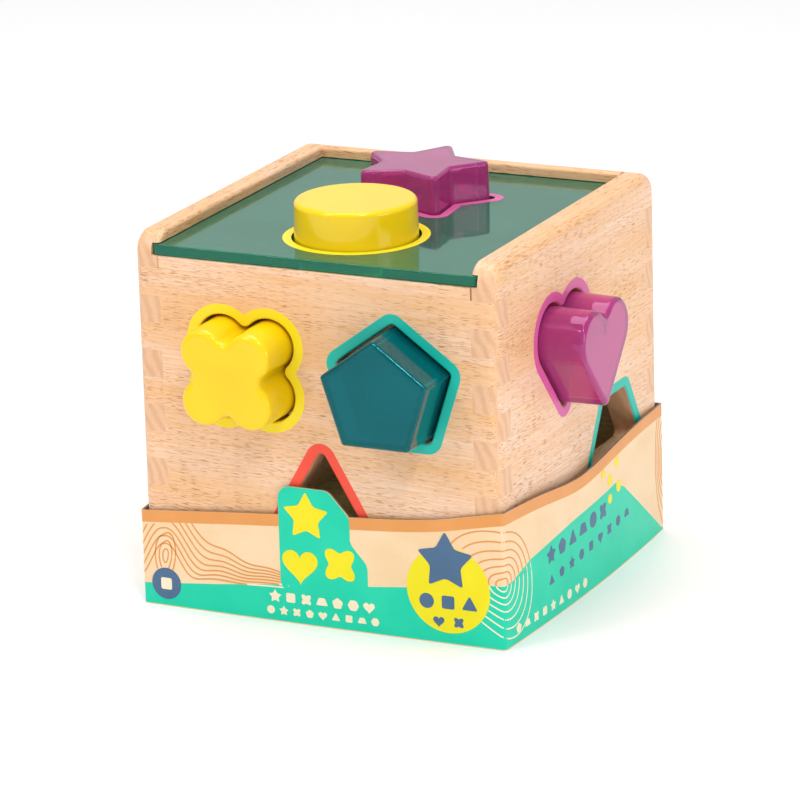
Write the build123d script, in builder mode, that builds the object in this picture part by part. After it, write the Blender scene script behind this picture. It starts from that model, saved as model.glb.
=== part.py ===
from build123d import *
import math
import os

# A wooden shape-sorting cube in its open cardboard display tray.
# Millimetres. +X is right, -Y is the front, +Z is up.
# The origin is on the ground, under the middle of the cube.

# ------------------------------------------------------------------ driving dimensions

# wooden cube
CUBE = 150.0             # outside width and depth
CUBE_TOP = 148.0         # top of the side and back panels above the ground
WALL = 10.5              # thickness of the four walls
FLOOR = 8.0              # thickness of the bottom panel
CORNER_R = 4.0           # rounding of the outside edges
SHOULDER_R = 8.5         # rounding of the cube's top front and top back corners
INNER_R = 1.5            # rounding of the inside top edges
HOLE_EDGE_R = 0.8        # rounding of each hole's outer rim
FINGER = 10.75           # height of one finger of the corner joints
TOP_FINGER = 13.7        # height of the topmost finger, which the side panels own

# sliding lid
LID_THICK = 4.0
LID_BASE = 139.6         # underside of the lid above the ground
LID_REACH = 2.7          # how far the lid goes into each groove
LID_CORNER_R = 2.4       # rounding of the lid's corners
GROOVE = 3.0             # depth of the grooves
GAP = 0.3                # play between the lid and the wood

# blocks
CLEARANCE = 1.0          # gap all round between a block's back and its hole
DRAFT = 1.1              # degrees that a block narrows towards its face
SHELL = 2.4              # wall thickness of a block
CAP_PLAY = 0.02          # glue line between a block's cap and its shell
DEPTH = 28.5             # front to back of a block in a wall or inside the cube
PROTRUDE = DEPTH - WALL  # a wall block's back is level with the wall's inner face
LID_PROTRUDE = 14.6      # a lid block stands this far above the lid

# cardboard tray
BOARD = 0.8              # thickness of the board
TRAY_PLAY = 0.5          # gap between the tray's corners and the wood
TRAY_RISE = 60.0         # blank height, before its top edge is cut to shape
TRAY_CORNER_R = 1.4
BOW_FRONT, BOW_RIGHT, BOW_BACK, BOW_LEFT = 0.8, 2.6, 1.0, 1.2

HALF = CUBE / 2
INSIDE = HALF - WALL
CUBE_BASE = BOARD + 0.05           # the wood stands just clear of the tray's floor
INNER_FLOOR = CUBE_BASE + FLOOR
FRONT_TOP = LID_BASE - GAP         # the front panel ends below the lid
LID_TOP = LID_BASE + LID_THICK
LID_HALF = INSIDE + LID_REACH
LID_DEPTH = LID_PROTRUDE + LID_THICK   # a lid block's back is level with the lid's underside

# outward-facing planes of the cube, each with its own x to the right and y up
FRONT = Plane.XZ.offset(HALF)
RIGHT = Plane.YZ.offset(HALF)
BACK = Plane(origin=(0, HALF, 0), x_dir=(-1, 0, 0), z_dir=(0, 1, 0))
LEFT = Plane(origin=(-HALF, 0, 0), x_dir=(0, -1, 0), z_dir=(-1, 0, 0))
TOP = Plane.XY.offset(LID_TOP)
FLOOR_TOP = Plane.XY.offset(INNER_FLOOR + 0.05)


# ------------------------------------------------------------------ outlines of the shapes
# Each adds its outline, centred on the active sketch's location and grown by `grow` all
# round, to the active sketch. Grown by 0 it is the hole.

def circle(grow):
    Circle(24.7 + grow)


def regular(sides, radius, corner_r, grow, turn=0.0):
    """Regular polygon with rounded corners and one corner straight up, plus a turn."""
    with BuildSketch(mode=Mode.PRIVATE) as poly:
        RegularPolygon(radius + grow / math.cos(math.pi / sides), sides, rotation=90 + turn)
        fillet(poly.vertices(), corner_r)
    add(poly.sketch)


def pentagon(grow):
    regular(5, 25.0, 2.2, grow)


def triangle(grow):
    regular(3, 28.9, 2.2, grow)


def square(grow):
    regular(4, 29.0, 2.5, grow, turn=45)


def hexagon(grow):
    regular(6, 24.0, 2.2, grow, turn=30)


def trapezoid(grow):
    top, bottom, height = 10.5, 25.0, 25.1
    with BuildSketch(mode=Mode.PRIVATE) as poly:
        with BuildLine():
            Polyline((-bottom, -height / 2), (bottom, -height / 2),
                     (top, height / 2), (-top, height / 2), close=True)
        make_face()
        if grow:
            offset(amount=grow, kind=Kind.INTERSECTION)
        fillet(poly.vertices(), 2.2)
    add(poly.sketch)


def star(grow):
    """Five-pointed star, one point up, with rounded points and hollows."""
    outer, inner, fifth = 31.0, 17.0, math.radians(36)
    tip = math.atan2(inner * math.sin(fifth), outer - inner * math.cos(fifth))
    outer += grow / math.sin(tip)
    inner += grow / math.sin(tip + fifth)
    points = []
    for k in range(10):
        r = outer if k % 2 == 0 else inner
        points.append((-r * math.sin(fifth * k), r * math.cos(fifth * k)))
    with BuildSketch(mode=Mode.PRIVATE) as poly:
        with BuildLine():
            Polyline(*points, close=True)
        make_face()
        fillet(poly.vertices(), 2.6)
    add(poly.sketch)


def clover(grow):
    """Four round lobes with softly filled notches between them."""
    reach, lobe_r, notch_r = 9.6, 10.6, 3.0
    lobes = [(sx * reach, sy * reach) for sx in (-1, 1) for sy in (-1, 1)]
    with BuildSketch(mode=Mode.PRIVATE) as leaf:
        Rectangle(2 * reach, 2 * reach)
        with Locations(*lobes):
            Circle(lobe_r + grow)
        fillet(leaf.vertices().filter_by(lambda v: min(abs(v.X), abs(v.Y)) < 0.1), notch_r)
    add(leaf.sketch)


def heart(grow):
    """Two round lobes joined by tangents to a rounded tip."""
    lobe_x, lobe_y, lobe_r, tip_y = 10.3, 8.9, 13.0, -22.7
    drop = lobe_y - tip_y
    half_angle = math.atan2(lobe_x, drop) + math.asin(lobe_r / math.hypot(lobe_x, drop))
    lobe_r += grow
    tip_y -= grow / math.sin(half_angle)
    touch_x = lobe_x + lobe_r * math.cos(half_angle)
    touch_y = lobe_y - lobe_r * math.sin(half_angle)
    with BuildSketch(mode=Mode.PRIVATE) as leaf:
        with BuildLine():
            Polyline((0, tip_y), (touch_x, touch_y), (lobe_x, lobe_y),
                     (-lobe_x, lobe_y), (-touch_x, touch_y), close=True)
        make_face()
        with Locations((lobe_x, lobe_y), (-lobe_x, lobe_y)):
            Circle(lobe_r)
        fillet(leaf.vertices().filter_by(lambda v: abs(v.X) < 0.1), 3.0)
    add(leaf.sketch)


# name: (outline, plane it faces out of, place on that plane, rounding of the face's edge)
LID_BLOCKS = {
    "circle": (circle, TOP, (0.4, -37.4), 1.8),
    "star": (star, TOP, (0.0, 21.2), 1.4),
}
WALL_BLOCKS = {
    "clover": (clover, FRONT, (-29.1, 98.8), 2.6),
    "pentagon": (pentagon, FRONT, (32.4, 97.5), 1.5),
    "heart": (heart, RIGHT, (-15.4, 99.0), 1.9),
    "square": (square, LEFT, (15.0, 99.0), 2.0),
}
LOOSE_BLOCKS = {
    "triangle": (triangle, FLOOR_TOP, (37.0, -10.0), 1.8),
    "trapezoid": (trapezoid, FLOOR_TOP, (38.0, -43.0), 1.8),
    "hexagon": (hexagon, FLOOR_TOP, (36.0, 38.0), 1.8),
}
# the holes that the loose blocks came out of
EMPTY_HOLES = {
    "triangle": (triangle, FRONT, (1.2, 41.6)),
    "trapezoid": (trapezoid, RIGHT, (32.3, 56.45)),
    "hexagon": (hexagon, LEFT, (-28.0, 50.0)),
}


# ------------------------------------------------------------------ wooden panels

def joint_rows():
    """Height intervals of the corner joint that the side panels own, from the top down."""
    rows = [(CUBE_TOP - TOP_FINGER, CUBE_TOP)]
    z = CUBE_TOP - TOP_FINGER
    while z > CUBE_BASE:
        z -= 2 * FINGER
        if z + FINGER > CUBE_BASE:
            rows.append((max(z, CUBE_BASE), z + FINGER))
    return rows


def between(rows):
    """The intervals that the front and back panels own: what the sides leave."""
    found, low = [], CUBE_BASE
    for start, end in sorted(rows):
        if start > low:
            found.append((low, start))
        low = end
    return found


SIDE_ROWS = joint_rows()
END_ROWS = between(SIDE_ROWS)


def plate(plane, top):
    """Upright panel with its outer face on the plane."""
    with BuildSketch(plane) as face:
        with Locations((0, (CUBE_BASE + top) / 2)):
            Rectangle(CUBE, top - CUBE_BASE)
    extrude(face.sketch, amount=-WALL)


def cut_slots(plane, rows):
    """Cut the gaps in both ends of a panel where its neighbours' fingers go."""
    with BuildSketch(plane) as slots:
        for low, high in rows:
            with Locations((INSIDE + WALL / 2, (low + high) / 2),
                           (-INSIDE - WALL / 2, (low + high) / 2)):
                Rectangle(WALL, high - low)
    extrude(slots.sketch, amount=-WALL, mode=Mode.SUBTRACT)


def cut_holes(plane):
    """Cut every hole that belongs to the wall, through it."""
    for outline, face, place, *rest in [*WALL_BLOCKS.values(), *EMPTY_HOLES.values()]:
        if face is plane:
            with BuildSketch(plane) as hole:
                with Locations(place):
                    outline(0)
            extrude(hole.sketch, amount=-WALL, mode=Mode.SUBTRACT)


def edges_at(part, plane, distance):
    """Edges of the part that lie in the plane, moved out by distance."""
    level = plane.offset(distance)
    return part.edges().filter_by(
        lambda e: all(abs(level.to_local_coords(e @ t).Z) < 1e-4 for t in (0, 0.5, 1)))


def not_at_base(edges):
    return edges.filter_by(lambda e: e.center().Z > CUBE_BASE + 1)


def rims(part, plane):
    """Edges of the holes on the panel's outer face."""
    face = part.faces().filter_by(
        lambda f: abs(plane.to_local_coords(f.center()).Z) < 1e-4).sort_by(SortBy.AREA)[-1]
    return ShapeList(e for wire in face.inner_wires() for e in wire.edges())


def side_panel(plane, name):
    """Left or right wall, with the lid's groove along its inside."""
    with BuildPart() as panel:
        plate(plane, CUBE_TOP)
        top = panel.faces().sort_by(Axis.Z)[-1]
        fillet(top.edges().sort_by(SortBy.LENGTH)[:2], SHOULDER_R)
        fillet(not_at_base(edges_at(panel, plane, 0)), CORNER_R)
        cut_slots(plane, END_ROWS)
        fillet(edges_at(panel, plane, -WALL).filter_by(
            lambda e: e.center().Z > CUBE_TOP - 0.1), INNER_R)
        with BuildSketch(plane.offset(-WALL)):
            reach = INSIDE + GROOVE
            towards_back = plane.x_dir.Y
            with Locations(((reach - HALF) / 2 * towards_back, (LID_BASE + LID_TOP) / 2)):
                Rectangle(reach + HALF, LID_THICK + 2 * GAP)
        extrude(amount=GROOVE, mode=Mode.SUBTRACT)
        cut_holes(plane)
        fillet(rims(panel, plane), HOLE_EDGE_R)
    panel.part.label = name
    return panel.part


with BuildPart() as front_panel:
    plate(FRONT, FRONT_TOP)
    fillet(edges_at(front_panel, FRONT, 0).filter_by(Axis.Z), CORNER_R)
    cut_slots(FRONT, SIDE_ROWS)
    fillet(edges_at(front_panel, FRONT, 0).sort_by(Axis.Z)[-1], HOLE_EDGE_R)
    cut_holes(FRONT)
    fillet(rims(front_panel, FRONT), HOLE_EDGE_R)

with BuildPart() as back_panel:
    plate(BACK, CUBE_TOP)
    fillet(edges_at(back_panel, BACK, 0).filter_by(Axis.Z), CORNER_R)
    cut_slots(BACK, SIDE_ROWS)
    fillet(edges_at(back_panel, BACK, 0).sort_by(Axis.Z)[-1], SHOULDER_R)
    fillet(edges_at(back_panel, BACK, -WALL).sort_by(Axis.Z)[-1], INNER_R)
    with BuildSketch(BACK.offset(-WALL)):
        with Locations((0, (LID_BASE + LID_TOP) / 2)):
            Rectangle(2 * INSIDE, LID_THICK + 2 * GAP)
    extrude(amount=GROOVE, mode=Mode.SUBTRACT)

with BuildPart() as bottom_panel:
    with BuildSketch(Plane.XY.offset(CUBE_BASE)):
        Rectangle(2 * INSIDE, 2 * INSIDE)
    extrude(amount=FLOOR)

# ------------------------------------------------------------------ lid

with BuildPart() as lid:
    with BuildSketch(Plane.XY.offset(LID_BASE)) as lid_outline:
        with Locations((0, (LID_HALF - HALF) / 2)):
            Rectangle(2 * LID_HALF, LID_HALF + HALF)
        fillet(lid_outline.vertices(), LID_CORNER_R)
        for outline, _, place, _ in LID_BLOCKS.values():
            with BuildSketch(mode=Mode.PRIVATE) as hole:
                with Locations(place):
                    outline(0)
            add(hole.sketch, mode=Mode.SUBTRACT)
    extrude(amount=LID_THICK)
    fillet(lid.edges().filter_by(Axis.X).group_by(Axis.Y)[0], 0.5)


# ------------------------------------------------------------------ blocks

def block(name, outline, plane, place, face_r, depth, stand_out):
    """A hollow moulded block: a shell open at its back, and the cap that closes it."""
    back = plane.offset(stand_out - depth)
    with BuildPart() as shell:
        with BuildSketch(back):
            with Locations(place):
                outline(-CLEARANCE)
        extrude(amount=depth, taper=DRAFT)
        fillet(edges_at(shell, back, depth), face_r)
        with BuildSketch(back):
            with Locations(place):
                outline(-CLEARANCE - SHELL)
        extrude(amount=depth - SHELL, taper=DRAFT, mode=Mode.SUBTRACT)
    with BuildPart() as cap:
        with BuildSketch(back):
            with Locations(place):
                outline(-CLEARANCE - SHELL - CAP_PLAY)
        extrude(amount=SHELL, taper=DRAFT)
    shell.part.label = name + "_shell"
    cap.part.label = name + "_cap"
    return shell.part, cap.part


# ------------------------------------------------------------------ cardboard tray

def bowed_square(half):
    """Square with gently bulging sides and small corners."""
    with BuildSketch() as bowed:
        with BuildLine():
            ThreePointArc((-half, -half), (0, -half - BOW_FRONT), (half, -half))
            ThreePointArc((half, -half), (half + BOW_RIGHT, 0), (half, half))
            ThreePointArc((half, half), (0, half + BOW_BACK), (-half, half))
            ThreePointArc((-half, half), (-half - BOW_LEFT, 0), (-half, -half))
        make_face()
        fillet(bowed.vertices(), TRAY_CORNER_R)
    return bowed.sketch


def trim(plane, points, tab=None):
    """Cut one side of the tray down to the curve through the points, keeping the tab."""
    far = HALF + 15
    with BuildSketch(plane.offset(15)) as waste:
        with BuildLine():
            Spline(*points)
            Polyline(points[-1], (far, TRAY_RISE + 5), (-far, TRAY_RISE + 5), points[0])
        make_face()
        if tab:
            with BuildSketch(mode=Mode.PRIVATE) as kept:
                Polygon(*tab, align=None)
                fillet(kept.vertices(), TAB_R)
            add(kept.sketch, mode=Mode.SUBTRACT)
    extrude(waste.sketch, amount=-15 - WALL / 2, mode=Mode.SUBTRACT)


EDGE = HALF + 15
FRONT_EDGE = [(-EDGE, 36.6), (-HALF, 37.9), (-20, 42.9), (22, 46.0), (50, 48.9), (HALF, 53.8),
              (EDGE, 55.5)]
RIGHT_EDGE = [(-EDGE, 54.2), (-HALF, 53.8), (-40, 51.4), (-10, 48.6), (18, 50.6), (48, 52.6),
              (HALF, 52.5), (EDGE, 52.0)]
BACK_EDGE = [(-EDGE, 53.0), (-HALF, 52.5), (-25, 47.5), (25, 46.0), (HALF, 43.0), (EDGE, 42.5)]
LEFT_EDGE = [(-EDGE, 43.5), (-HALF, 43.0), (-20, 44.5), (30, 40.0), (HALF, 37.9), (EDGE, 37.5)]
TAB_R = 5.0                  # rounding of the tab's corners
TAB = [(-16.5, 54.8), (-16.5, 12.0), (20.5, 12.0), (20.5, 27.0), (13.5, 35.0), (13.5, 45.0),
       (4.5, 54.8)]          # corners of the tab on the front edge

with BuildPart() as display_tray:
    add(bowed_square(HALF + TRAY_PLAY + BOARD))
    extrude(amount=TRAY_RISE)
    with BuildSketch(Plane.XY.offset(BOARD)):
        add(bowed_square(HALF + TRAY_PLAY))
    extrude(amount=TRAY_RISE, mode=Mode.SUBTRACT)
    trim(FRONT, FRONT_EDGE, TAB)
    trim(RIGHT, RIGHT_EDGE)
    trim(BACK, BACK_EDGE)
    trim(LEFT, LEFT_EDGE)

# ------------------------------------------------------------------ label and write

front_panel.part.label = "front_panel"
back_panel.part.label = "back_panel"
bottom_panel.part.label = "bottom_panel"
lid.part.label = "lid"
display_tray.part.label = "display_tray"

pieces = [display_tray.part, front_panel.part, back_panel.part, bottom_panel.part, lid.part,
          side_panel(LEFT, "left_panel"), side_panel(RIGHT, "right_panel")]
for name, (outline, plane, place, face_r) in LID_BLOCKS.items():
    pieces.extend(block(name, outline, plane, place, face_r, LID_DEPTH, LID_PROTRUDE))
for name, (outline, plane, place, face_r) in WALL_BLOCKS.items():
    pieces.extend(block(name, outline, plane, place, face_r, DEPTH, PROTRUDE))
for name, (outline, plane, place, face_r) in LOOSE_BLOCKS.items():
    pieces.extend(block(name, outline, plane, place, face_r, DEPTH, DEPTH))

os.makedirs("parts", exist_ok=True)
for piece in pieces:
    export_step(piece, "parts/" + piece.label + ".step")
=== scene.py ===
import math

import bmesh
import bpy
import numpy as np
from mathutils import Matrix, Vector
from mathutils.geometry import tessellate_polygon


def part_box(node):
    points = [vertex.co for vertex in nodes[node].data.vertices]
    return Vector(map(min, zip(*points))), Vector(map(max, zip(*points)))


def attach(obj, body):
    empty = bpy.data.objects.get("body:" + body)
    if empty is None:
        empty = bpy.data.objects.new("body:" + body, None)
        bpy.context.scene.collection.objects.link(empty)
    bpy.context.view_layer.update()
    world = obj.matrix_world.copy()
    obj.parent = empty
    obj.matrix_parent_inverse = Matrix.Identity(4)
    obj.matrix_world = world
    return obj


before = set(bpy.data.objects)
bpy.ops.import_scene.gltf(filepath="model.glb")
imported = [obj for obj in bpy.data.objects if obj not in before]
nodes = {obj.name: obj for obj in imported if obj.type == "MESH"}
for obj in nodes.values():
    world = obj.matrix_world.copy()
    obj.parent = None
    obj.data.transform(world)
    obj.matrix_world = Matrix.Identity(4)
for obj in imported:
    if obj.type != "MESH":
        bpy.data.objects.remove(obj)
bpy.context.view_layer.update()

# Looks of the shape sorter: beech, coloured plastics, printed rings and the tray's printed art.
# Metres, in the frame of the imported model. Art is laid out in millimetres and scaled by MM.

MM = 0.001
MICRON = 0.000001


def linear(hex_colour):
    """Colour as the shader wants it, from the usual six digits."""
    parts = [int(hex_colour[i:i + 2], 16) / 255 for i in (0, 2, 4)]
    scaled = [c / 12.92 if c <= 0.04045 else ((c + 0.055) / 1.055) ** 2.4 for c in parts]
    return (*scaled, 1.0)


# ------------------------------------------------------------------ colours

WHITE = (1, 1, 1, 1)
WOOD_LIGHT = (0.90, 0.635, 0.465, 1)
WOOD_WARM = (0.86, 0.51, 0.265, 1)
WOOD_FIBRE = (0.82, 0.42, 0.155, 1)
WOOD_STREAK = (0.77, 0.36, 0.13, 1)
WOOD_FLECK = (0.49, 0.19, 0.06, 1)
END_LIGHT = (0.82, 0.50, 0.30, 1)
END_DARK = (0.69, 0.36, 0.18, 1)
END_PORE = (0.56, 0.28, 0.14, 1)
CREAM = linear("F5D6AE")
CREAM_WARM = linear("F0CC9F")
CREAM_SPECK = linear("D9A878")
RAW_BOARD = linear("9A8672")
RAW_FIBRE = linear("83705E")
YELLOW = (0.93, 0.64, 0.004, 1)
YELLOW_DEEP = (0.90, 0.59, 0.003, 1)
MAGENTA = (0.82, 0.115, 0.48, 1)
MAGENTA_DEEP = (0.77, 0.09, 0.43, 1)
MAGENTA_GLEAM = (1.0, 0.50, 0.78, 1)
TEAL = (0.0, 0.36, 0.42, 1)
TEAL_DEEP = (0.0, 0.31, 0.37, 1)
TEAL_GLEAM = (0.05, 0.80, 0.85, 1)
RED = (0.90, 0.09, 0.05, 1)
RED_DEEP = (0.86, 0.07, 0.04, 1)
RED_GLEAM = (1.0, 0.55, 0.50, 1)
LID_GREEN = (0.0, 0.45, 0.27, 1)
LID_DEEP = (0.0, 0.40, 0.24, 1)
LID_GLEAM = (0.80, 1.0, 0.90, 1)
FLOOR_PALE = (0.97, 0.97, 0.97, 1)
GREEN_INK = linear("00CDA8")
STRIPE_INK = linear("E29852")
LINE_INK = linear("DC9449")
PALE_INK = linear("F4E4C6")
SLATE_INK = linear("47678A")
DISC_INK = linear("EDDD00")
GRAIN_SLOPE = 0.035      # rise of the wood's grain along the board
PLASTIC_IOR = 1.46


# ------------------------------------------------------------------ node graphs

class Graph:
    """One material's node graph, built with short calls."""

    def __init__(self, name):
        self.material = bpy.data.materials.new(name)
        self.material.use_nodes = True
        self.tree = self.material.node_tree
        self.surface = self.tree.nodes["Principled BSDF"]

    def feed(self, socket, value):
        """Link the value to the socket if it comes from a node, and else set it there."""
        if isinstance(value, bpy.types.NodeSocket):
            self.tree.links.new(value, socket)
        else:
            socket.default_value = value

    def node(self, kind, inputs, output=0, **settings):
        """New node of that kind with its inputs fed and its settings made: one of its outputs."""
        made = self.tree.nodes.new(kind)
        for key, value in settings.items():
            setattr(made, key, value)
        for key, value in inputs.items():
            self.feed(made.inputs[key], value)
        return made.outputs[output]

    def math(self, operation, a, b=0.0, c=0.0):
        return self.node("ShaderNodeMath", {0: a, 1: b, 2: c}, operation=operation)

    def ramp(self, value, low, high, start=0.0, end=1.0):
        """Smooth step from start, where the value is at or under low, to end at high."""
        return self.node("ShaderNodeMapRange", {0: value, 1: low, 2: high, 3: start, 4: end},
                         interpolation_type="SMOOTHSTEP")

    def mix(self, share, a, b):
        """Colour a blended towards colour b."""
        return self.node("ShaderNodeMix", {0: share, 6: a, 7: b}, output=2, data_type="RGBA")

    def place(self):
        """Position in millimetres in the piece's own frame, so that it moves with the body."""
        coord = self.tree.nodes.new("ShaderNodeTexCoord")
        return self.node("ShaderNodeVectorMath", {0: coord.outputs["Object"], 3: 1 / MM},
                         operation="SCALE")

    def facing(self):
        """The three parts of the surface's direction."""
        coord = self.tree.nodes.new("ShaderNodeTexCoord")
        return self.split(coord.outputs["Normal"])

    def split(self, vector):
        made = self.tree.nodes.new("ShaderNodeSeparateXYZ")
        self.feed(made.inputs[0], vector)
        return made.outputs[0], made.outputs[1], made.outputs[2]

    def noise(self, parts, size, seed=0.0, detail=2.0, roughness=0.5):
        """Noise from 0 to 1 whose blobs are about size millimetres along each of the parts."""
        scaled = [self.math("MULTIPLY_ADD", p, 1 / s, seed) for p, s in zip(parts, size)]
        vector = self.node("ShaderNodeCombineXYZ", dict(enumerate(scaled)))
        return self.node("ShaderNodeTexNoise", {"Vector": vector, "Scale": 1.0, "Detail": detail,
                                                "Roughness": roughness})

    def bump(self, height, strength, distance_mm):
        """Surface direction that a relief of that depth gives."""
        return self.node("ShaderNodeBump", {"Height": height, "Strength": strength,
                                            "Distance": distance_mm * MM})

    def set(self, **values):
        """Feed the shader's own sockets, spaces in their names written as underscores."""
        for key, value in values.items():
            self.feed(self.surface.inputs[key.replace("_", " ")], value)


# ------------------------------------------------------------------ materials

def beech(name, grain, seed):
    """Lacquered beech whose grain runs along X or Y: fine dark flecks, and end grain across.

    Noise sizes are in millimetres along the grain, across it and up."""
    g = Graph(name)
    x, y, z = g.split(g.place())
    nx, ny, _ = g.facing()
    along, across = (x, y) if grain == "X" else (y, x)
    cut = g.ramp(g.math("ABSOLUTE", nx if grain == "X" else ny), 0.55, 0.85)
    level = g.math("MULTIPLY_ADD", along, GRAIN_SLOPE, z)
    wood = (along, across, level)

    tone = g.noise(wood, (150, 20, 13), seed, detail=3)
    fibre = g.noise(wood, (30, 1.1, 0.8), seed + 3, detail=4, roughness=0.68)
    dashes = g.noise(wood, (4.6, 0.46, 0.32), seed + 7, detail=1.5)
    patch = g.noise(wood, (38, 12, 9), seed + 11)
    fleck = g.ramp(g.math("MULTIPLY_ADD", patch, 0.26, dashes), 0.69, 0.82)
    streak = g.ramp(g.noise(wood, (11, 0.8, 0.7), seed + 15, detail=2), 0.56, 0.78)

    colour = g.mix(g.ramp(tone, 0.3, 0.7), WOOD_LIGHT, WOOD_WARM)
    colour = g.mix(g.ramp(fibre, 0.38, 0.72, 0.0, 0.75), colour, WOOD_FIBRE)
    colour = g.mix(g.math("MULTIPLY", streak, 0.5), colour, WOOD_STREAK)
    colour = g.mix(g.math("MULTIPLY", fleck, 0.85), colour, WOOD_FLECK)

    # year rings and pores where the board is cut across
    bend = g.noise((across, level, along), (14, 14, 60), seed + 19)
    ring = g.math("ADD", g.math("MULTIPLY", across, 0.8), g.math("MULTIPLY", level, 0.3))
    ring = g.math("SINE", g.math("MULTIPLY_ADD", ring, 1.7, g.math("MULTIPLY", bend, 12.0)))
    pores = g.noise((across, level, along), (0.45, 0.45, 8), seed + 23, detail=1)
    end = g.mix(g.ramp(ring, -0.8, 1.0, 0.0, 0.55), END_LIGHT, END_DARK)
    end = g.mix(g.ramp(pores, 0.56, 0.74, 0.0, 0.4), end, END_PORE)
    colour = g.mix(cut, colour, end)

    rough = g.ramp(fibre, 0.3, 0.8, 0.36, 0.5)
    height = g.math("SUBTRACT", g.math("MULTIPLY", fibre, 0.35), fleck)
    g.set(Base_Color=colour, Roughness=rough, Normal=g.bump(height, 0.22, 0.12))
    g.set(Coat_Weight=0.12, Coat_Roughness=0.22)
    return g.material


def plastic(name, colour, deep, roughness, clear=0.0, gleam=WHITE, coat=0.0):
    """Moulded plastic: a slow drift of tint between colour and deep, and a mould's faint ripple.

    clear is the share of light that goes through, gleam the tint of its reflections."""
    g = Graph(name)
    parts = g.split(g.place())
    drift = g.noise(parts, (22, 22, 22), 2.0, detail=2)
    ripple = g.noise(parts, (5.5, 5.5, 5.5), 5.0, detail=1)
    fine = g.noise(parts, (2.5, 2.5, 2.5), 9.0, detail=3)
    g.set(Base_Color=g.mix(g.ramp(drift, 0.3, 0.7), colour, deep),
          Roughness=g.ramp(fine, 0.3, 0.8, roughness, roughness + 0.04),
          Normal=g.bump(ripple, 0.06, 0.2))
    g.set(IOR=PLASTIC_IOR, Transmission_Weight=clear, Specular_Tint=gleam)
    g.set(Coat_Weight=coat, Coat_Roughness=0.02)
    return g.material


def printed(name, colour):
    """Screen-printed ink: even, a little grainy, satin."""
    g = Graph(name)
    parts = g.split(g.place())
    speck = g.noise(parts, (0.35, 0.35, 0.35), 1.0, detail=3, roughness=0.7)
    drift = g.noise(parts, (16, 16, 16), 4.0)
    darker = (*(c * 0.84 for c in colour[:3]), 1.0)
    lighter = (*(min(1.0, c * 1.05 + 0.01) for c in colour[:3]), 1.0)
    mixed = g.mix(g.ramp(speck, 0.5, 0.8, 0.0, 0.4), colour, darker)
    g.set(Base_Color=g.mix(g.ramp(drift, 0.35, 0.7, 0.0, 0.7), mixed, lighter),
          Roughness=g.ramp(speck, 0.3, 0.8, 0.34, 0.46), Normal=g.bump(speck, 0.15, 0.03))
    g.set(Specular_IOR_Level=0.32)
    return g.material


def board(name):
    """Folding boxboard: cream print outside, raw brown-grey board inside and on cut edges."""
    g = Graph(name)
    x, y, z = g.split(g.place())
    nx, ny, _ = g.facing()
    from_middle = g.math("ADD", g.math("MULTIPLY", x, nx), g.math("MULTIPLY", y, ny))
    outside = g.ramp(from_middle, 30, 40)     # faces turned away from the cube's middle
    speck = g.noise((x, y, z), (0.5, 0.5, 0.5), 3.0, detail=3, roughness=0.75)
    fibre = g.noise((x, y, z), (3.5, 3.5, 0.35), 6.0, detail=2)
    drift = g.noise((x, y, z), (25, 25, 18), 9.0)
    cream = g.mix(g.ramp(drift, 0.3, 0.7), CREAM, CREAM_WARM)
    cream = g.mix(g.ramp(speck, 0.54, 0.76, 0.0, 0.5), cream, CREAM_SPECK)
    raw = g.mix(g.ramp(fibre, 0.35, 0.7), RAW_BOARD, RAW_FIBRE)
    g.set(Base_Color=g.mix(outside, raw, cream),
          Roughness=g.ramp(outside, 0.0, 1.0, 0.85, 0.42),
          Normal=g.bump(g.math("MULTIPLY_ADD", fibre, 0.5, speck), 0.18, 0.05))
    return g.material


along_x = beech("beech_along_x", "X", 0.0)
along_x_back = beech("beech_back", "X", 40.0)
along_y_left = beech("beech_left", "Y", 80.0)
along_y_right = beech("beech_right", "Y", 120.0)
yellow_plastic = plastic("yellow_plastic", YELLOW, YELLOW_DEEP, 0.10)
magenta_plastic = plastic("magenta_plastic", MAGENTA, MAGENTA_DEEP, 0.03,
                          clear=0.68, gleam=MAGENTA_GLEAM, coat=0.35)
teal_plastic = plastic("teal_plastic", TEAL, TEAL_DEEP, 0.02,
                       clear=0.80, gleam=TEAL_GLEAM, coat=0.25)
red_plastic = plastic("red_plastic", RED, RED_DEEP, 0.03,
                      clear=0.75, gleam=RED_GLEAM, coat=0.35)
lid_plastic = plastic("lid_acrylic", LID_GREEN, LID_DEEP, 0.03,
                      clear=0.76, gleam=LID_GLEAM)
board_print = board("printed_board")

CAD_MATERIALS = {
    "front_panel": along_x, "back_panel": along_x_back, "bottom_panel": along_x,
    "left_panel": along_y_left, "right_panel": along_y_right,
    "lid": lid_plastic, "display_tray": board_print,
}
BLOCK_MATERIALS = {
    "circle": yellow_plastic, "clover": yellow_plastic, "hexagon": yellow_plastic,
    "star": magenta_plastic, "heart": magenta_plastic,
    "pentagon": teal_plastic, "trapezoid": teal_plastic,
    "triangle": red_plastic, "square": red_plastic,
}
for shape, material in BLOCK_MATERIALS.items():
    CAD_MATERIALS[shape + "_shell"] = CAD_MATERIALS[shape + "_cap"] = material
for node, material in CAD_MATERIALS.items():
    for holder in nodes[node].material_slots:
        holder.material = material


# ------------------------------------------------------------------ outlines and thin prints

FEWEST = 24              # points of the smallest outline
SNUG = 0.03              # millimetres by which a grown outline may come nearer than it should


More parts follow.
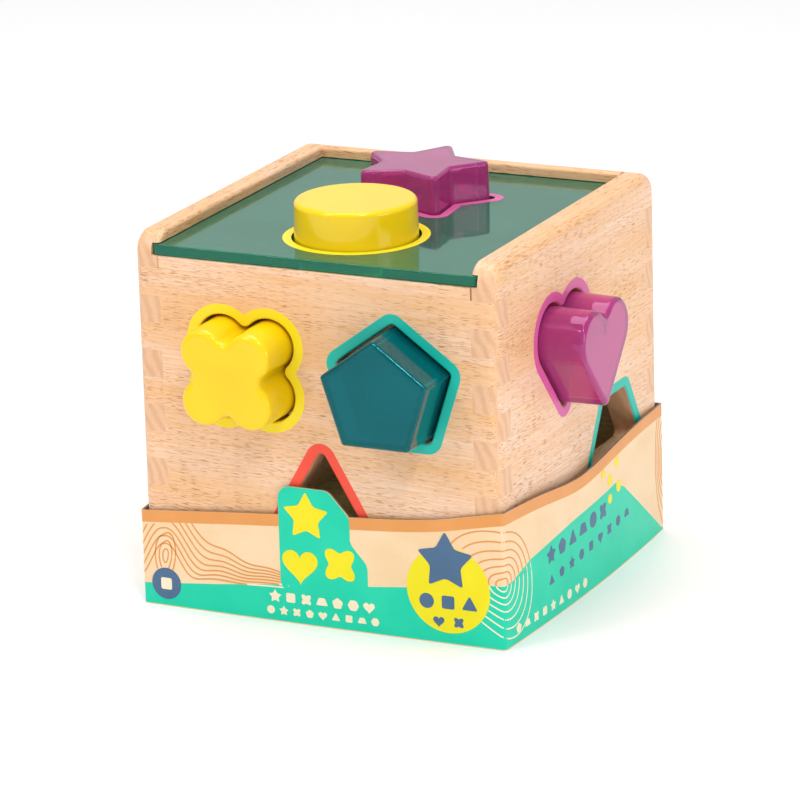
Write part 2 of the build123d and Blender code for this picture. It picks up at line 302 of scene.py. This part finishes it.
def face_loops(node, axis, level):
    """Border loops, in millimetres, of a CAD node's flat face at that level along the axis.

    The outermost comes first."""
    mesh = nodes[node].data
    sides = set()
    for polygon in mesh.polygons:
        corners = [mesh.vertices[i].co for i in polygon.vertices]
        if all(abs(c[axis] - level) < 2 * MICRON for c in corners):
            keys = [tuple(round(v / MICRON) for v in c) for c in corners]
            sides.update(zip(keys, keys[1:] + keys[:1]))
    following = {a: b for a, b in sides if (b, a) not in sides}
    loops = []
    while following:
        start, point = following.popitem()
        loop = [start]
        while point != start:
            loop.append(point)
            point = following.pop(point)
        loops.append(np.array(loop) * MICRON / MM)
    return sorted(loops, key=lambda loop: -np.ptp(loop, axis=0).max())


def resampled(loop, step):
    """Closed outline with evenly spaced points, about step millimetres apart, anticlockwise."""
    x, y = loop.T
    if np.sum(x * np.roll(y, -1) - y * np.roll(x, -1)) < 0:
        loop = loop[::-1]
    closed = np.vstack([loop, loop[:1]])
    lengths = np.concatenate([[0], np.cumsum(np.linalg.norm(np.diff(closed, axis=0), axis=1))])
    count = max(FEWEST, round(lengths[-1] / step))
    at = np.arange(count) * lengths[-1] / count
    return np.column_stack([np.interp(at, lengths, closed[:, k]) for k in (0, 1)])


def outward(points):
    """Unit directions away from a closed anticlockwise outline."""
    along = np.roll(points, -1, axis=0) - np.roll(points, 1, axis=0)
    along = along + 0.5 * (np.roll(along, 1, axis=0) + np.roll(along, -1, axis=0))
    side = np.column_stack([along[:, 1], -along[:, 0]])
    return side / np.linalg.norm(side, axis=1)[:, None]


def grown(points, distance):
    """The outline moved out by distance; where it would fold over itself the fold is closed up."""
    moved = points + outward(points) * distance
    if distance <= 0:
        return moved
    gaps = np.linalg.norm(moved[:, None, :] - points[None, :, :], axis=2).min(axis=1)
    kept = np.flatnonzero(gaps > distance - SNUG)
    count = len(points)
    step = np.abs(np.arange(count)[:, None] - kept[None, :])
    nearest = kept[np.minimum(step, count - step).argmin(axis=1)]
    return moved[nearest]


def mesh_object(name, points, faces, material, body):
    """Closed mesh of one material that rides on a body."""
    mesh = bpy.data.meshes.new(name)
    mesh.from_pydata([tuple(p) for p in points], [], faces)
    editing = bmesh.new()
    editing.from_mesh(mesh)
    bmesh.ops.remove_doubles(editing, verts=editing.verts, dist=MICRON)
    bmesh.ops.dissolve_degenerate(editing, edges=editing.edges, dist=MICRON / 10)
    bmesh.ops.recalc_face_normals(editing, faces=editing.faces)
    editing.to_mesh(mesh)
    editing.free()
    mesh.materials.append(material)
    made = bpy.data.objects.new(name, mesh)
    bpy.context.scene.collection.objects.link(made)
    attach(made, body)
    return made


class Flat:
    """A flat face of the cube, with its own x to the right and y up, in millimetres."""

    def __init__(self, node, x_dir, y_dir, out):
        self.x_dir, self.y_dir, self.out = Vector(x_dir), Vector(y_dir), Vector(out)
        axis = max(range(3), key=lambda k: abs(out[k]))
        low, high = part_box(node)
        level = high[axis] if out[axis] > 0 else low[axis]
        self.base = self.out * abs(level) / MM if out[axis] * level > 0 else self.out * 0
        self.loops = []
        for loop in face_loops(node, axis, level)[1:]:
            flat = np.column_stack([loop @ np.array(x_dir), loop @ np.array(y_dir)])
            self.loops.append(resampled(flat, RING_STEP))

    def place(self, x, y, lift):
        """Point of the scene that is lift millimetres above (x, y)."""
        return (self.base + self.x_dir * x + self.y_dir * y + self.out * lift) * MM

    def hole_near(self, x, y):
        """Outline of the hole whose middle is nearest to (x, y)."""
        return min(self.loops, key=lambda loop: math.dist(loop.mean(axis=0), (x, y)))


RING_STEP = 0.4          # distance between the points of a ring's outline
RING_WIDTH = 3.3
RING_INK = 0.06          # height of a ring above its face
RING_ROOT = 0.02         # depth of its underside below the face
RIM = 0.8                # rounding of the holes' edges in the wood
RIM_BENDS = [math.radians(a) for a in (12, 24, 36, 48, 60)]     # steps of a ring round that rim


def ring(name, flat, centre, rim, material, slot, body):
    """Printed ring round a hole. It follows the rounded rim down to where the ink ends."""
    loop = flat.hole_near(*centre)
    outer = grown(loop, RING_WIDTH)
    rows = [(outer, -RING_ROOT), (outer, RING_INK * 0.6),
            (grown(loop, RING_WIDTH - RING_INK), RING_INK), (loop, RING_INK)]
    bends = RIM_BENDS if rim else []
    for radius, angles in ((rim + RING_INK, bends), (rim - RING_ROOT, reversed(bends))):
        for bend in angles:
            rows.append((grown(loop, -radius * math.sin(bend)), radius * math.cos(bend) - rim))
    rows.append((loop, -RING_ROOT))
    count, points, faces = len(loop), [], []
    for outline, lift in rows:
        points.extend(flat.place(px, py, lift) for px, py in outline)
    for r in range(len(rows)):
        a, b = r * count, (r + 1) % len(rows) * count
        for k in range(count):
            n = (k + 1) % count
            faces.append((a + k, a + n, b + n, b + k))
    mesh_object(name, points, faces, material, body)


FRONT = Flat("front_panel", (1, 0, 0), (0, 0, 1), (0, -1, 0))
RIGHT = Flat("right_panel", (0, 1, 0), (0, 0, 1), (1, 0, 0))
LEFT = Flat("left_panel", (0, -1, 0), (0, 0, 1), (-1, 0, 0))
LID = Flat("lid", (1, 0, 0), (0, 1, 0), (0, 0, 1))

RING_COLOURS = {"yellow": linear("F7E11E"), "teal": linear("19BBA9"),
                "red": linear("F8523D"), "magenta": linear("D9609F")}
ring_inks = {name: printed("ring_" + name, colour) for name, colour in RING_COLOURS.items()}
# shape, face, ink, and the rough place on the face of a hole that has no block in it
RINGS = [
    ("clover", FRONT, "yellow", None), ("pentagon", FRONT, "teal", None),
    ("heart", RIGHT, "magenta", None), ("square", LEFT, "red", None),
    ("triangle", FRONT, "red", (0, 40)), ("trapezoid", RIGHT, "teal", (32, 56)),
    ("hexagon", LEFT, "yellow", (-28, 50)),
    ("circle", LID, "yellow", None), ("star", LID, "magenta", None),
]


def block_place(shape, flat):
    """Where a block is on the face whose hole it sits in."""
    low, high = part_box(shape + "_shell")
    centre = (low + high) / 2 / MM
    return centre.dot(flat.x_dir), centre.dot(flat.y_dir)


for shape, flat, ink, place in RINGS:
    rim, body = (0, "lid") if flat is LID else (RIM, "cube")
    ring(shape + "_ring", flat, place or block_place(shape, flat), rim,
         ring_inks[ink], "print_" + ink, body)


# ------------------------------------------------------------------ the tray's printed art

STEP = 0.5               # distance between the points of the walls' outline, and of a band
EDGE_LOWEST = 25         # the tray's top edge is higher than this all round
EDGE_DEPTH = 0.35        # a point of that edge is the outer one if it is no deeper in the board
TAB_MARGIN = 0.6         # the edge's height is not read this near to the tab
TAB_R = 5.0              # rounding of the tab's corners
TAB = [(-16.5, 54.8), (-16.5, 12.0), (20.5, 12.0), (20.5, 27.0), (13.5, 35.0), (13.5, 45.0),
       (4.5, 54.8)]      # corners of the tab on the front wall

# lifts: how far each print stands out from the board, so that none flickers through another
EMBED = -0.05            # every print's underside, just inside the board
BAND_LIFT = 0.06
LINE_LIFT = 0.08
PALE_LINE_LIFT = 0.11    # lines that lie on the green band
TAB_LIFT = 0.12
FIGURE_LIFT = 0.14
TAB_FIGURE_LIFT = 0.18
BADGE_LIFT = 0.20        # figures on the two round badges


class Wrap:
    """The tray's outside unrolled: u runs right along the front, right, back and left walls."""

    def __init__(self):
        loop = resampled(face_loops("display_tray", 2, 0.0)[0][:, :2], STEP)
        start = np.linalg.norm(loop - loop.min(axis=0), axis=1).argmin()
        self.points = np.roll(loop, -start, axis=0)
        self.sides = outward(self.points)
        steps = np.linalg.norm(np.roll(self.points, -1, axis=0) - self.points, axis=1)
        self.length = steps.sum()
        self.at = np.concatenate([[0], np.cumsum(steps)[:-1]])
        self.front = self._u_where(0, -1)
        self.right = self._u_where(1, 0)
        self.back = self._u_where(0, 1)
        self.left = self._u_where(-1, 0)
        self.edge_u, self.edge_z = self._top_edge()

    def _u_where(self, dx, dy):
        """u of the middle of the wall on that side: far out that way, and not off to a side."""
        reach = self.points @ np.array([dx, dy]) - 50 * np.abs(self.points @ np.array([dy, dx]))
        return self.at[reach.argmax()]

    def _top_edge(self):
        """The cut edge's height over u, without the tab's upright sides."""
        found = {}
        for v in nodes["display_tray"].data.vertices:
            x, y, z = np.array(v.co) / MM
            gaps = np.linalg.norm(self.points - (x, y), axis=1)
            if z > EDGE_LOWEST and gaps.min() < STEP:
                k = gaps.argmin()
                if (self.points[k] - (x, y)) @ self.sides[k] < EDGE_DEPTH:
                    found[round(self.at[k], 2)] = max(z, found.get(round(self.at[k], 2), 0))
        u = np.array(sorted(found))
        z = np.array([found[k] for k in u])
        x = u - self.front
        tab = (x > TAB[0][0] - TAB_MARGIN) & (x < TAB[2][0] + TAB_MARGIN)
        return u[~tab], z[~tab]

    def edge(self, u):
        """Height of the wall's cut top edge at u."""
        return np.interp(u % self.length, self.edge_u, self.edge_z, period=self.length)

    def place(self, u, z, lift):
        """Point of the scene that is lift millimetres outside (u, z)."""
        u = u % self.length
        x = np.interp(u, self.at, self.points[:, 0], period=self.length)
        y = np.interp(u, self.at, self.points[:, 1], period=self.length)
        sx = np.interp(u, self.at, self.sides[:, 0], period=self.length)
        sy = np.interp(u, self.at, self.sides[:, 1], period=self.length)
        return Vector((x + sx * lift, y + sy * lift, z)) * MM


wrap = Wrap()
F, R, B, L = wrap.front, wrap.right, wrap.back, wrap.left


class Print:
    """Gathers prints of one ink into one thin mesh on the tray."""

    def __init__(self, name, colour):
        self.name, self.material = "tray_print_" + name, printed("ink_" + name, colour)
        self.points, self.faces = [], []

    def grid(self, rows, lift):
        """Closed thin sheet through rows of (u, z), with its outer face at that lift."""
        base, wide, count = len(self.points), len(rows[0]), len(rows)
        for level in (lift, EMBED):
            for row in rows:
                self.points.extend(wrap.place(u, z, level) for u, z in row)
        under = base + wide * count
        for r in range(count - 1):
            for k in range(wide - 1):
                a = r * wide + k
                quad = (a, a + 1, a + wide + 1, a + wide)
                self.faces.append(tuple(base + q for q in quad))
                self.faces.append(tuple(under + q for q in reversed(quad)))
        border = (list(range(wide - 1))
                  + [r * wide + wide - 1 for r in range(count - 1)]
                  + [(count - 1) * wide + k for k in range(wide - 1, 0, -1)]
                  + [r * wide for r in range(count - 1, 0, -1)])
        for a, b in zip(border, border[1:] + border[:1]):
            self.faces.append((base + a, base + b, under + b, under + a))

    def band(self, lower, upper):
        """Everything between two height curves, all round the tray."""
        columns = np.linspace(0, wrap.length, math.ceil(wrap.length / STEP) + 1)
        rows = [[(u, lower(u) + (upper(u) - lower(u)) * share) for u in columns]
                for share in np.linspace(0, 1, 4)]
        self.grid(rows, BAND_LIFT)

    def stroke(self, path, width, lift):
        """Line of that width along the (u, z) points, with tapered ends."""
        path = np.array(path, float)
        if len(path) < 3:
            return
        along = np.gradient(path, axis=0)
        side = np.column_stack([-along[:, 1], along[:, 0]])
        side /= np.linalg.norm(side, axis=1)[:, None]
        half = np.full(len(path), width / 2)
        half[0] = half[-1] = width / 5
        self.grid([list(path - side * half[:, None]), list(path + side * half[:, None])], lift)

    def shape(self, outline, lift):
        """Filled outline of (u, z) points."""
        flat = [Vector((u, z, 0)) for u, z in outline]
        base, count = len(self.points), len(flat)
        for level in (lift, EMBED):
            self.points.extend(wrap.place(p.x, p.y, level) for p in flat)
        for a, b, c in tessellate_polygon([flat]):
            self.faces.append((base + a, base + b, base + c))
            self.faces.append((base + count + c, base + count + b, base + count + a))
        for a in range(count):
            b = (a + 1) % count
            self.faces.append((base + a, base + b, base + count + b, base + count + a))

    def finish(self):
        """Make the mesh of everything gathered."""
        made = mesh_object(self.name, self.points, self.faces, self.material, "tray")


def round_outline(u, z, r, count=48):
    turn = np.arange(count) * 2 * np.pi / count
    return np.column_stack([u + r * np.cos(turn), z + r * np.sin(turn)])


ARC_STEPS = 7            # points of a corner's true arc
SOFT_STEPS = 5           # points of a corner's soft curve
SOFT_SHARE = 0.48        # that curve takes at most this share of a side


def corner_triples(corners):
    """Each corner of a closed outline with the one before it and the one after it."""
    corners = np.array(corners, float)
    return zip(np.roll(corners, 1, axis=0), corners, np.roll(corners, -1, axis=0))


def softened(corners, r):
    """Closed outline through the corners, each rounded by an arc-like curve that starts r away."""
    out = []
    for before, here, after in corner_triples(corners):
        a = here + (before - here) * min(SOFT_SHARE, r / np.linalg.norm(before - here))
        b = here + (after - here) * min(SOFT_SHARE, r / np.linalg.norm(after - here))
        for t in np.linspace(0, 1, SOFT_STEPS):
            out.append((1 - t) ** 2 * a + 2 * t * (1 - t) * here + t ** 2 * b)
    return np.array(out)


def filleted(corners, r):
    """Outline through the corners, each rounded by a true arc of radius r."""
    out = []
    for before, here, after in corner_triples(corners):
        a = (before - here) / np.linalg.norm(before - here)
        b = (after - here) / np.linalg.norm(after - here)
        half = math.acos(max(-1.0, min(1.0, a @ b))) / 2
        centre = here + (a + b) / np.linalg.norm(a + b) * r / math.sin(half)
        start, end = here + a * r / math.tan(half), here + b * r / math.tan(half)
        for t in np.linspace(0, 1, ARC_STEPS):
            spoke = (1 - t) * start + t * end - centre
            out.append(centre + spoke / np.linalg.norm(spoke) * r)
    return np.array(out)


def polygon_outline(u, z, r, sides, soft=0.25, turn=0.0, inner=None):
    """Rounded polygon, or star if inner is the hollows' radius, with a corner straight up."""
    count = sides if inner is None else 2 * sides
    corners = []
    for k in range(count):
        radius = r if inner is None or k % 2 == 0 else inner
        a = 2 * math.pi * k / count + math.radians(turn)
        corners.append((u - radius * math.sin(a), z + radius * math.cos(a)))
    return softened(corners, soft * r)


def heart_outline(u, z, r):
    turn = np.linspace(0, 2 * np.pi, 40, endpoint=False)
    x = np.sin(turn) ** 3
    y = (13 * np.cos(turn) - 5 * np.cos(2 * turn) - 2 * np.cos(3 * turn) - np.cos(4 * turn)) / 16
    return np.column_stack([u - r * x, z + r * y])


def clover_outline(u, z, r):
    turn = np.linspace(0, 2 * np.pi, 64, endpoint=False)
    radius = r * (0.8 + 0.2 * np.cos(4 * (turn - np.pi / 4)))
    return np.column_stack([u + radius * np.cos(turn), z + radius * np.sin(turn)])


def trapezoid_outline(u, z, r):
    return softened([(u - r, z - 0.6 * r), (u + r, z - 0.6 * r),
                     (u + 0.5 * r, z + 0.6 * r), (u - 0.5 * r, z + 0.6 * r)], 0.25 * r)


# the nine shapes as small figures that reach about r from their middle
ICONS = {
    "circle": lambda u, z, r: round_outline(u, z, r * 0.9, 28),
    "star": lambda u, z, r: polygon_outline(u, z, r * 1.15, 5, inner=r * 0.62, soft=0.12),
    "clover": lambda u, z, r: clover_outline(u, z, r * 1.05),
    "pentagon": lambda u, z, r: polygon_outline(u, z, r, 5),
    "heart": heart_outline,
    "triangle": lambda u, z, r: polygon_outline(u, z - 0.15 * r, r * 1.15, 3),
    "square": lambda u, z, r: polygon_outline(u, z, r * 1.1, 4, turn=45),
    "trapezoid": lambda u, z, r: trapezoid_outline(u, z, r * 1.05),
    "hexagon": lambda u, z, r: polygon_outline(u, z, r, 6, turn=30),
}


def icons(ink, kinds, place, step, r, lift=FIGURE_LIFT):
    """Row of the figures named in kinds, from place on and step apart, both (u, z)."""
    for k, kind in enumerate(kinds.split()):
        ink.shape(ICONS[kind](place[0] + step[0] * k, place[1] + step[1] * k, r), lift)


# heights of the green wave round the tray: (u, z)
WAVE = [(F - 76, 8.4), (F - 45, 11.6), (F - 15, 15.3), (F + 10, 17.6), (F + 36, 20.5),
        (F + 71, 25.2), (R - 70, 25.6), (R - 55, 29.7), (R - 20, 33.2), (R + 14, 35.0),
        (R + 23, 35.8), (R + 32, 31.5), (R + 74, 1.2), (B - 60, 6.0), (B - 20, 17.5),
        (B + 15, 19.0), (B + 50, 10.0), (L - 60, 7.5), (L - 15, 16.5), (L + 25, 15.5), (L + 60, 9.0)]
wave_u, wave_z = np.array(WAVE).T
SOFT_REACH = 16          # the wave's bends are soft over this far to either side
SOFT_END = 62            # the softening fades out this far from the middle of a wall
SOFT_FADE = 30


def wave(u):
    """Height of the green wave: straight runs, with soft bends on the back and the left."""
    apart = min(abs((u - centre + 100) % wrap.length - 100) for centre in (B, L))
    reach = SOFT_REACH * min(1.0, max(0.0, (SOFT_END - apart) / SOFT_FADE))
    around = (u + reach * np.linspace(-1, 1, 9)) % wrap.length
    return float(np.mean(np.interp(around, wave_u, wave_z, period=wrap.length)))


STRIPE = 4.8             # height of the stripe along the cut edge
STRIPE_GAP = 0.05        # bare board above the stripe
GREEN_BASE = 0.5         # bare board below the green
green = Print("green", GREEN_INK)
stripe = Print("stripe", STRIPE_INK)
lines = Print("lines", LINE_INK)
pale = Print("pale", PALE_INK)
slate = Print("slate", SLATE_INK)
sunny = Print("yellow", DISC_INK)

green.band(lambda u: GREEN_BASE, wave)
stripe.band(lambda u: wrap.edge(u) - STRIPE, lambda u: wrap.edge(u) - STRIPE_GAP)

DISC = (F + 53.6, 21.5, 17.0)      # the big yellow badge: u, z, radius
BADGE = (F - 66.0, 9.2, 6.3)       # the small slate one
LINE_WIDTH = 0.55
LINE_LOWEST = 1.2
LINE_MARGIN = 0.4                  # bare board between the lines and the stripe


def line_ink(u, z):
    """The ink that a wood-figure line has at that place, or None where it is hidden."""
    covered = any(math.dist((u, z), badge[:2]) < badge[2] for badge in (DISC, BADGE))
    if covered or z > wrap.edge(u) - STRIPE - LINE_MARGIN or z < LINE_LOWEST:
        return None
    return pale if z < wave(u) else lines


def contour(path):
    """Wood-figure line: orange on cream and pale on green, in as many strokes as that takes."""
    run, ink = [], None
    for u, z in [*path, (None, None)]:
        now = None if u is None else line_ink(u, z)
        if now is not ink:
            if ink is not None:
                ink.stroke(run, LINE_WIDTH, PALE_LINE_LIFT if ink is pale else LINE_LIFT)
            run, ink = run[-1:] if run and now is not None else [], now
        run.append((u, z))


def nest(u0, z0, sizes, wide, tall, lean, phase):
    """Nested uneven loops round (u0, z0), like the figure round a knot."""
    turn = np.linspace(0, 2 * np.pi, 97)
    for k, size in enumerate(sizes):
        wobble = 1 + 0.10 * np.sin(2 * turn + phase + 0.25 * k) + 0.05 * np.sin(3 * turn - phase)
        x = wide * size * wobble * np.cos(turn)
        z = tall * size * wobble * np.sin(turn)
        contour(np.column_stack([u0 + x + lean * z, z0 + z]))


# a knot at the front's left end with lines that run over it and off to the right
nest(F - 66.0, 20.5, (1.5, 3.4, 5.4), 0.75, 1.9, 0.03, 0.4)
for k in range(7):
    u = np.linspace(F - 76, F - 13, 120)
    x = u - (F - 66)
    hump = (14.5 + 2.6 * k) * np.exp(-np.abs(x / (7.6 + 1.5 * k)) ** 2.4)
    shoulder = (1.5 + 1.15 * k) * np.exp(-((x - 21 - 0.8 * k) / 9.5) ** 2)
    tail = (0.4 + 0.62 * k) * np.exp(-((x - 43) / 11) ** 2)
    contour(np.column_stack([u, 10.9 + 0.058 * x + 0.55 * k + hump + shoulder + tail]))
# a knot at each of the other corners
nest(F + 76, 26.0, (2.6, 5.2, 8.0, 11.0, 14.2, 17.6, 21.2), 1.0, 1.05, -0.1, 1.1)
nest(R + 77, 28.0, (2.2, 4.2, 6.4, 8.8, 11.4, 14.2), 0.7, 1.9, 0.0, 2.3)
nest(B + 77, 25.0, (2.4, 5.0, 7.8, 10.8, 14.0), 1.0, 1.2, 0.1, 0.2)

# the tab, all green with three plain shapes
TAB_STEP = 0.8
TAB_INSET = 0.12         # bare edge of the tab
tab = resampled(filleted([(F + x, z) for x, z in TAB], TAB_R), TAB_STEP)
green.shape(grown(tab, -TAB_INSET), TAB_LIFT)
sunny.shape(polygon_outline(F - 4.8, 43.4, 10.0, 5, inner=5.3, soft=0.12), TAB_FIGURE_LIFT)
sunny.shape(heart_outline(F - 7.9, 24.0, 7.5), TAB_FIGURE_LIFT)
sunny.shape(clover_outline(F + 8.9, 26.0, 7.8), TAB_FIGURE_LIFT)

# the two round badges
sunny.shape(round_outline(*DISC, 96), FIGURE_LIFT)
slate.shape(ICONS["star"](F + 52.6, 32.5, 10.4), BADGE_LIFT)
icons(slate, "circle square triangle", (F + 44.6, 16.4), (8.8, 0.2), 3.3, BADGE_LIFT)
icons(slate, "heart clover", (F + 49.4, 8.8), (8.2, 0.2), 2.3, BADGE_LIFT)
slate.shape(round_outline(*BADGE, 64), FIGURE_LIFT)
pale.shape(ICONS["square"](*BADGE[:2], 3.0), BADGE_LIFT)

# rows of small figures on the front, on the right, and on the back and the left
icons(pale, "star square clover trapezoid pentagon hexagon heart", (F - 19, 10.2), (6.6, 0.05), 2.4)
icons(pale, " ".join(ICONS), (F - 21, 4.6), (5.5, 0.05), 1.8)
icons(slate, "star pentagon triangle trapezoid circle clover", (R - 38, 26.0), (9.6, 0.5), 3.5)
icons(slate, "triangle pentagon star hexagon square heart clover circle trapezoid",
      (R - 38, 16.0), (9.0, 0.55), 2.3)
icons(pale, "pentagon trapezoid clover square star triangle circle heart hexagon",
      (R - 66, 6.0), (7.2, -0.1), 2.1)
DOTS = [(24.5, 44.8, 2.0), (10.7, 43.4, 1.6), (17.4, 38.8, 2.2), (26.0, 33.8, 2.4),
        (17.1, 31.2, 1.9)]         # on the right wall: from its middle, z, radius
DOT_GAP = 0.3                      # a dot stays this far below the stripe
for x, z, r in DOTS:
    highest = wrap.edge(R + x) - STRIPE - r - DOT_GAP
    sunny.shape(round_outline(R + x, min(z, highest), r, 28), FIGURE_LIFT)
for centre in (B, L):
    icons(pale, "clover triangle hexagon clover triangle", (centre - 14, 6.4), (7.0, 0), 1.9)

for ink in (green, stripe, lines, pale, slate, sunny):
    ink.finish()


# ------------------------------------------------------------------ room, light and camera

TOY_MIDDLE = Vector((0, 0, 0.08))


def softbox(name, place, size, power):
    """Rectangular lamp aimed at the middle of the toy, its size in metres and its power in watts."""
    light = bpy.data.lights.new(name, "AREA")
    light.shape, light.size, light.size_y, light.energy = "RECTANGLE", *size, power
    made = bpy.data.objects.new(name, light)
    made.location = place
    made.rotation_mode = "QUATERNION"
    made.rotation_quaternion = (TOY_MIDDLE - Vector(place)).to_track_quat("-Z", "Y")
    made.visible_transmission = False
    bpy.context.scene.collection.objects.link(made)


FLOOR_HALF = 12.0        # metres
floor_paint = Graph("floor")
floor_paint.set(Base_Color=FLOOR_PALE, Roughness=0.9, Specular_IOR_Level=0.0)
floor_mesh = bpy.data.meshes.new("floor")
floor_corners = [(x * FLOOR_HALF, y * FLOOR_HALF, 0) for x, y in ((-1, -1), (1, -1), (1, 1), (-1, 1))]
floor_mesh.from_pydata(floor_corners, [], [(0, 1, 2, 3)])
floor_mesh.materials.append(floor_paint.material)
studio_floor = bpy.data.objects.new("floor", floor_mesh)
bpy.context.scene.collection.objects.link(studio_floor)

world = bpy.data.worlds.new("studio")
bpy.context.scene.world = world
world.use_nodes = True
sky = world.node_tree.nodes["Background"]
sky.inputs["Color"].default_value = WHITE
sky.inputs["Strength"].default_value = 0.52
bpy.context.scene.view_settings.view_transform = "Standard"

softbox("key", (-1.0, -1.45, 1.6), (0.7, 0.7), 10)
softbox("fill", (2.0, -0.45, 0.45), (0.9, 0.7), 8.0)
softbox("overhead", (-0.2, 0.1, 1.9), (1.3, 1.3), 18)
softbox("edge", (0.77, -0.96, 1.64), (0.32, 0.45), 10.0)
softbox("backdrop", (-1.25, 2.4, 1.0), (1.6, 1.2), 1.5)

YAW, PITCH, ROLL = 26.0, 17.13, -1.69     # degrees
LENS, SENSOR = 224.7, 36.0                # millimetres
camera = bpy.data.cameras.new("camera")
camera.lens, camera.sensor_width = LENS, SENSOR
camera.clip_end = 50
CAMERA_PLACE = (0.8096, -1.6634, 0.6379)
viewer = bpy.data.objects.new("camera", camera)
viewer.matrix_world = (Matrix.Translation(CAMERA_PLACE)
                       @ Matrix.Rotation(math.radians(YAW), 4, "Z")
                       @ Matrix.Rotation(math.radians(90 - PITCH), 4, "X")
                       @ Matrix.Rotation(math.radians(ROLL), 4, "Z"))
bpy.context.scene.collection.objects.link(viewer)
bpy.context.scene.camera = viewer

bpy.context.view_layer.update()
